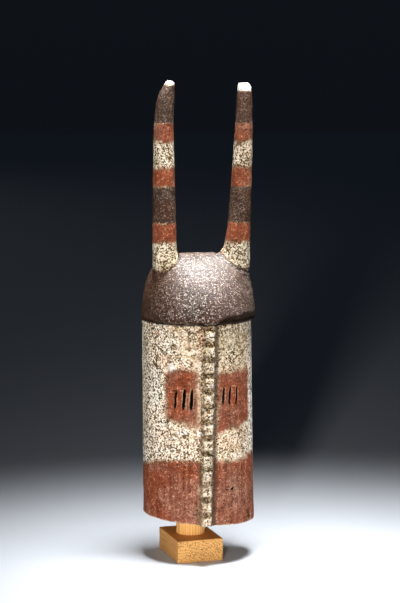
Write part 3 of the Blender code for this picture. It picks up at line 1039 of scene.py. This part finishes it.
def old_wood(finish, on, settings):
    """The bare wood of the hollow, dark in its grain."""
    bare = tuple(settings.bare_wood)
    streaks = finish.noise(0.0042, 4.0, 0.65, places=finish.along(finish.places, 2, 16.0))
    lift = finish.sum_of(((streaks, 1.0), (on.mottle, 0.5), (on.broad_rise, 0.25)), -0.25)
    return finish.ramp(
        lift, (0.28, scaled(bare, 0.25)), (0.44, scaled(bare, 0.7)), (0.56, bare), (0.72, scaled(bare, 2.0))
    )


def mask_paint(settings):
    """Chalky white, red earth and brown-black paint on old wood, with dirt, stains and wear,
    and with painted shade and painted highlights.
    """
    finish = Finish("painted_old_wood")
    on = PaintGrain(finish)
    in_red = finish.zone("red_zone", on.ragged, 2.9, 3.2)
    in_black = finish.zone("black_zone", on.ragged, 0.6, 0.5)
    in_bare = finish.zone("bare_zone", on.ragged, 0.6, 0.6)
    colour = finish.mix(in_red, white_paint(finish, on, settings), red_paint(finish, on, settings))
    worn = finish.spread(finish.math("MULTIPLY_ADD", on.speck, 0.8, on.broad_rise), 1.05, 1.5)
    colour = finish.lay(colour, worn, 0.35, spectrum(206, 180, 148))
    colour = finish.mix(in_black, colour, black_paint(finish, on, settings))
    colour = finish.mix(in_bare, colour, old_wood(finish, on, settings))
    # Soot and painted shade, laid on in one dark brown
    colour = finish.lay(colour, finish.stored("soot_and_painted_shade"), 0.78, spectrum(66, 42, 26))
    # Painted shade, near black, from the dirt colour darkened: the walls of the slits and holes, and the
    # band along the brow's lower edge
    colour = finish.mix(finish.stored("painted_cut_and_brow_shade"), colour, scaled(settings.dirt, 0.12))
    finish.give("Base Color", colour)

    roughness = finish.spread(in_black, 0.0, 1.0, 0.84, 0.50)
    finish.give("Roughness", finish.math("MULTIPLY_ADD", on.speck, 0.20, roughness))
    finish.give("Specular IOR Level", 0.20)
    finish.give("Coat Weight", finish.math("MULTIPLY", in_black, finish.stored("gloss")))
    finish.give("Coat Roughness", 0.30)
    finish.give("Coat IOR", 1.7)
    skin = finish.sum_of(((on.speck, 0.6), (on.grain, 1.1), (on.cell, 0.25), (on.small_cell, 0.25)))
    finish.give("Coat Normal", finish.bump(skin, 0.9, 0.0013))
    return finish.material


def pine(name, settings, axis, turn, pith, ring, glow, aged, toned_by):
    """Oiled softwood sawn from one trunk: rings round a pith, lines along the grain, pores.

    The grain runs along the axis, and the wood's colours are scaled by glow. aged is the most
    that the darker patches hide, and toned_by scales the late wood's colour on the stored part:
    the block's flat-toned top, and the painted shade on the post's front inside the mask.
    """
    finish = Finish(name)
    early = scaled(settings.early_wood, glow)
    late = scaled(settings.late_wood, glow)
    trunk = finish.mapped(finish.places, Location=pith, Rotation=(0.0, 0.0, -turn))
    lengthwise = finish.along(trunk, axis, 22.0)
    section = finish.along(trunk, axis, 60.0)
    sway = finish.noise(0.030, 2.0, 0.5, places=section)
    away = finish.add("ShaderNodeVectorMath", {0: section}, operation="LENGTH").outputs["Value"]
    rings = finish.math("MULTIPLY_ADD", sway, 1.8 * ring, away)
    year = finish.math("FRACT", finish.math("DIVIDE", rings, ring), 0.0)
    in_late = finish.spread(year, 0.45, 0.93)
    fibres = finish.noise(0.0011, 3.0, 0.6, places=lengthwise)
    pores = finish.noise(0.0022, 2.0, 0.6, places=lengthwise)
    tone = finish.noise(0.035, 2.0, 0.5)

    colour = finish.lay(early, in_late, 0.75, late)
    colour = finish.mix(finish.spread(fibres, 0.36, 0.62, 0.45, 0.0), colour, scaled(late, 0.85))
    colour = finish.mix(finish.spread(pores, 0.60, 0.72, 0.0, 0.65), colour, scaled(late, 0.35))
    colour = finish.mix(finish.spread(tone, 0.35, 0.7, 0.0, aged), colour, scaled(late, 0.8))
    end_pores = finish.spread(finish.sum_of(((finish.speckles(0.0012), 0.8), (tone, 0.35))), 0.80, 0.87)
    on_end = finish.stored("end_grain")
    end = finish.mix(in_late, early, between(early, late, 0.45))
    end = finish.lay(end, end_pores, 0.85, scaled(late, 0.30))
    colour = finish.mix(on_end, colour, end)
    # The stored part is the block's flat-toned top and the painted shade on the post's hidden front
    top_tone_and_painted_shade = finish.math("MULTIPLY", finish.stored("top_tone_and_painted_shade"), finish.spread(tone, 0.25, 0.6, 1.0, 0.80))
    finish.give("Base Color", finish.mix(top_tone_and_painted_shade, colour, scaled(late, toned_by)))

    finish.give("Roughness", finish.spread(fibres, 0.3, 0.7, 0.50, 0.68))
    finish.give("Specular IOR Level", 0.35)
    open_pores = finish.math("MULTIPLY", on_end, end_pores)
    finish.bump(finish.sum_of(((in_late, 0.35), (fibres, 1.0), (open_pores, -1.5))), 0.45, 0.0006)
    return finish.material


def plain_paper(settings):
    """The studio floor: pale paper with the faintest unevenness."""
    finish = Finish("studio_paper")
    pale = tuple(settings.floor_colour)
    finish.give("Base Color", finish.mix(finish.noise(0.35, 2.0, 0.5), pale, scaled(pale, 0.985)))
    finish.give("Roughness", 0.85)
    finish.give("Specular IOR Level", 0.25)
    return finish.material


# Operators


class CarveMask(bpy.types.Operator):
    """Carve the mask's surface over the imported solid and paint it."""

    bl_idname = "buffalo_mask.carve_mask"
    bl_label = "Carve and Paint the Mask"

    def execute(self, context):
        settings = context.scene.mask_settings
        piece = copy_of_node("mask", "carved_mask")
        apply_modifier(piece, "carving grid", "REMESH", mode="VOXEL", voxel_size=settings.grid)
        apply_modifier(piece, "soften", "SMOOTH", factor=0.5, iterations=2)
        carve_mask(piece, settings)
        triangles = sum(len(face.vertices) - 2 for face in piece.data.polygons)
        if triangles == 0:
            raise RuntimeError("the mask's grid came out empty")
        share = min(1.0, MOST_TRIANGLES / triangles)
        apply_modifier(piece, "fewer faces", "DECIMATE", ratio=share)
        piece.data.shade_smooth()
        paint_mask(piece)
        hand_in(piece, "mask", mask_paint(settings))
        return {"FINISHED"}


class TurnPost(bpy.types.Operator):
    """Turn the stand's round post."""

    bl_idname = "buffalo_mask.turn_post"
    bl_label = "Turn the Post"

    def execute(self, context):
        settings = context.scene.stand_settings
        low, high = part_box("stand_post")
        bpy.ops.object.select_all(action="DESELECT")
        bpy.ops.mesh.primitive_cylinder_add(
            vertices=POST_SIDES,
            radius=(high.x - low.x) / 2,
            depth=high.z - low.z,
            location=(low + high) / 2,
        )
        piece = context.active_object
        piece.name = "turned_post"
        piece.data.name = "turned_post"
        bpy.ops.object.transform_apply(location=True, rotation=True, scale=True)
        bpy.ops.object.mode_set(mode="EDIT")
        bpy.ops.mesh.select_mode(type="EDGE")
        bpy.ops.mesh.select_all(action="DESELECT")
        bpy.ops.object.mode_set(mode="OBJECT")
        for edge in piece.data.edges:
            first, second = (piece.data.vertices[i].co for i in edge.vertices)
            edge.select = abs(first.z - second.z) < 1e-5
        bpy.ops.object.mode_set(mode="EDIT")
        bpy.ops.mesh.bevel(offset=settings.post_edge, segments=3, affect="EDGES")
        for level in np.linspace(low.z + 0.004, high.z - 0.004, POST_RINGS):
            bpy.ops.mesh.select_all(action="SELECT")
            bpy.ops.mesh.bisect(plane_co=(0, 0, level), plane_no=(0, 0, 1))
        bpy.ops.object.mode_set(mode="OBJECT")
        places = vertex_places(piece.data)
        normals = vertex_normals(piece.data)
        normals[:, 2] = 0.0
        rubbed = bumps(places * np.array((1.0, 1.0, 0.04)), size=0.0024, seed=31, octaves=2)
        waves = bumps(places, size=0.030, seed=32)
        height = 0.00009 * rubbed + 0.00012 * waves - 0.00012
        move_vertices(piece.data, places + normals * height[:, None])
        piece.data.shade_smooth()
        bpy.ops.object.shade_smooth_by_angle(angle=SMOOTH_ANGLE)
        store(piece.data, "end_grain", np.zeros(len(places)))
        # Painted shade: the post's front inside the mask is darkened, so it stays dark through the slits
        hidden_front_shade = ramp_up(-places[:, 1], 0.002, 0.012) * ramp_up(places[:, 2], 0.10, 0.15)
        store(piece.data, "top_tone_and_painted_shade", hidden_front_shade)
        wood = pine(
            "pine_post", settings, axis=2, turn=0.0, pith=(0.050, 0.020, 0.0), ring=0.0042,
            glow=1.45, aged=0.15, toned_by=0.30,
        )
        hand_in(piece, "stand_post", wood)
        return {"FINISHED"}


class SawBlock(bpy.types.Operator):
    """Saw the stand's block and round its edges."""

    bl_idname = "buffalo_mask.saw_block"
    bl_label = "Saw the Block"

    def execute(self, context):
        settings = context.scene.stand_settings
        low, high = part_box("stand_block")
        bpy.ops.object.select_all(action="DESELECT")
        bpy.ops.mesh.primitive_cube_add(
            size=1.0,
            location=(low + high) / 2,
            rotation=(0.0, 0.0, BLOCK_TURN),
            scale=(BLOCK_WIDTH, BLOCK_DEPTH, high.z - low.z),
        )
        piece = context.active_object
        piece.name = "sawn_block"
        piece.data.name = "sawn_block"
        bpy.ops.object.transform_apply(location=True, rotation=True, scale=True)
        bpy.ops.object.mode_set(mode="EDIT")
        bpy.ops.mesh.select_all(action="SELECT")
        bpy.ops.mesh.bevel(offset=settings.block_edge, segments=3, affect="EDGES")
        turned = Matrix.Rotation(BLOCK_TURN, 3, "Z")
        for axis, length in enumerate((BLOCK_WIDTH, BLOCK_DEPTH, high.z - low.z)):
            reach = length / 2 - settings.block_edge - MILLIMETRE / 2
            for step in np.linspace(-reach, reach, round(2 * reach / BLOCK_GRID) + 1):
                place = (low + high) / 2 + turned.col[axis] * float(step)
                bpy.ops.mesh.select_all(action="SELECT")
                bpy.ops.mesh.bisect(plane_co=place, plane_no=turned.col[axis])
        bpy.ops.object.mode_set(mode="OBJECT")
        places = vertex_places(piece.data)
        normals = vertex_normals(piece.data)
        saw = bumps(places * np.array((0.12, 1.0, 0.25)), size=0.0016, seed=41)
        dents = ramp_up(bumps(places, size=0.0055, seed=42), 0.45, 0.75)
        waves = bumps(places, size=0.030, seed=43)
        near_floor = places[:, 2] < low.z + 0.0002
        height = settings.saw_depth * saw - 0.00025 * dents + 0.00012 * waves - 0.0001
        height = np.where(near_floor, 0.0, height)
        move_vertices(piece.data, places + normals * height[:, None])
        piece.data.shade_smooth()
        ends = np.abs(normals @ np.array((-math.sin(BLOCK_TURN), math.cos(BLOCK_TURN), 0.0)))
        store(piece.data, "end_grain", ramp_up(ends, 0.55, 0.80))
        # The block's top gets a flat orange-brown tone
        store(piece.data, "top_tone_and_painted_shade", ramp_up(normals[:, 2], 0.60, 0.90))
        wood = pine(
            "pine_block", settings, axis=1, turn=BLOCK_TURN, pith=(0.030, 0.0, 0.035), ring=0.0052,
            glow=1.02, aged=0.40, toned_by=1.35,
        )
        hand_in(piece, "stand_block", wood)
        return {"FINISHED"}


class SetStage(bpy.types.Operator):
    """Lay the floor, hang the lights and stand the camera where the photograph was taken."""

    bl_idname = "buffalo_mask.set_stage"
    bl_label = "Set the Stage"

    def execute(self, context):
        settings = context.scene.stage_settings
        bpy.ops.object.select_all(action="DESELECT")
        bpy.ops.mesh.primitive_plane_add(size=settings.floor_size, location=(0.0, 0.0, 0.0))
        floor = context.active_object
        floor.name = "studio_floor"
        floor.data.materials.append(plain_paper(settings))
        floor.visible_glossy = False

        soft_light("top_light", TOP_LIGHT, settings.top_power)
        crown = soft_light("crown_light", CROWN_LIGHT, settings.crown_power)
        front = soft_light("front_light", FRONT_LIGHT, settings.front_power)
        left = soft_light("left_light", LEFT_LIGHT, settings.left_power)
        right = soft_light("right_light", RIGHT_LIGHT, settings.right_power)
        soft_light("far_light", FAR_LIGHT, settings.far_power)
        for lamp in (front, left, right):
            lamp.visible_glossy = False
        shine_on_mask_alone(crown)
        dim_world()
        stand_camera(settings)
        context.scene.view_settings.view_transform = "Standard"
        return {"FINISHED"}


def soft_light(name, setup, power):
    """A rectangular soft light, hidden from the camera."""
    place, target, size, spread = setup
    lamp = bpy.data.lights.new(name, "AREA")
    lamp.shape = "RECTANGLE"
    lamp.size, lamp.size_y = size
    lamp.energy = power
    lamp.spread = math.radians(spread)
    made = bpy.data.objects.new(name, lamp)
    bpy.context.scene.collection.objects.link(made)
    made.location = place
    made.rotation_euler = (Vector(target) - Vector(place)).to_track_quat("-Z", "Y").to_euler()
    made.visible_camera = False
    return made


def shine_on_mask_alone(lamp):
    """Keeps a light off the floor, as a shade between the two would."""
    lit = bpy.data.collections.new("lit_by_" + lamp.name)
    lit.objects.link(bpy.data.objects["carved_mask"])
    lamp.light_linking.receiver_collection = lit


def dim_world():
    """The dark far end of the studio."""
    world = bpy.data.worlds.new("studio_dark")
    world.use_nodes = True
    background = world.node_tree.nodes["Background"]
    background.inputs["Color"].default_value = DARK_COLOUR
    links = world.node_tree.links
    sky = world.node_tree.nodes.new("ShaderNodeTexCoord")
    parts = world.node_tree.nodes.new("ShaderNodeSeparateXYZ")
    fade = world.node_tree.nodes.new("ShaderNodeMapRange")
    fade.inputs["From Max"].default_value = DARK_WHOLE_AT
    fade.inputs["To Min"].default_value = DARK_AT_HORIZON
    links.new(sky.outputs["Generated"], parts.inputs["Vector"])
    links.new(parts.outputs["Z"], fade.inputs["Value"])
    links.new(fade.outputs["Result"], background.inputs["Strength"])
    bpy.context.scene.world = world


def stand_camera(settings):
    """The camera, where the photograph was taken from."""
    lens = bpy.data.cameras.new("camera")
    lens.sensor_width = SENSOR
    lens.lens = LENS_PIXELS * SENSOR / PHOTO_HEIGHT
    lens.shift_x = MIDDLE_OFF / PHOTO_HEIGHT
    lens.clip_start = 0.05
    camera = bpy.data.objects.new("camera", lens)
    bpy.context.scene.collection.objects.link(camera)
    turn = settings.camera_turn
    tilt = settings.camera_tilt
    distance = settings.camera_distance
    camera.location = (distance * math.sin(turn), -distance * math.cos(turn), settings.camera_height)
    look = Vector((-math.sin(turn) * math.cos(tilt), math.cos(turn) * math.cos(tilt), -math.sin(tilt)))
    camera.rotation_euler = look.to_track_quat("-Z", "Y").to_euler()
    bpy.context.scene.camera = camera


class MaskPanel(bpy.types.Panel):
    """The mask's pieces and stage, in the sidebar."""

    bl_idname = "VIEW3D_PT_buffalo_mask"
    bl_label = "Buffalo Mask"
    bl_space_type = "VIEW_3D"
    bl_region_type = "UI"
    bl_category = "Mask"

    def draw(self, context):
        scene = context.scene
        for heading, group in (
            ("Mask", scene.mask_settings),
            ("Stand", scene.stand_settings),
            ("Stage", scene.stage_settings),
        ):
            box = self.layout.box()
            box.label(text=heading)
            for name in group.__annotations__:
                box.prop(group, name)
        for operator in OPERATORS:
            self.layout.operator(operator.bl_idname)


GROUPS = (MaskSettings, StandSettings, StageSettings)
OPERATORS = (CarveMask, TurnPost, SawBlock, SetStage)


def register():
    for item in (*GROUPS, *OPERATORS, MaskPanel):
        bpy.utils.register_class(item)
    bpy.types.Scene.mask_settings = bpy.props.PointerProperty(type=MaskSettings)
    bpy.types.Scene.stand_settings = bpy.props.PointerProperty(type=StandSettings)
    bpy.types.Scene.stage_settings = bpy.props.PointerProperty(type=StageSettings)


def unregister():
    del bpy.types.Scene.stage_settings
    del bpy.types.Scene.stand_settings
    del bpy.types.Scene.mask_settings
    for item in reversed((*GROUPS, *OPERATORS, MaskPanel)):
        bpy.utils.unregister_class(item)


def main():
    register()
    bpy.ops.buffalo_mask.carve_mask()
    bpy.ops.buffalo_mask.turn_post()
    bpy.ops.buffalo_mask.saw_block()
    bpy.ops.buffalo_mask.set_stage()


if __name__ == "__main__":
    main()
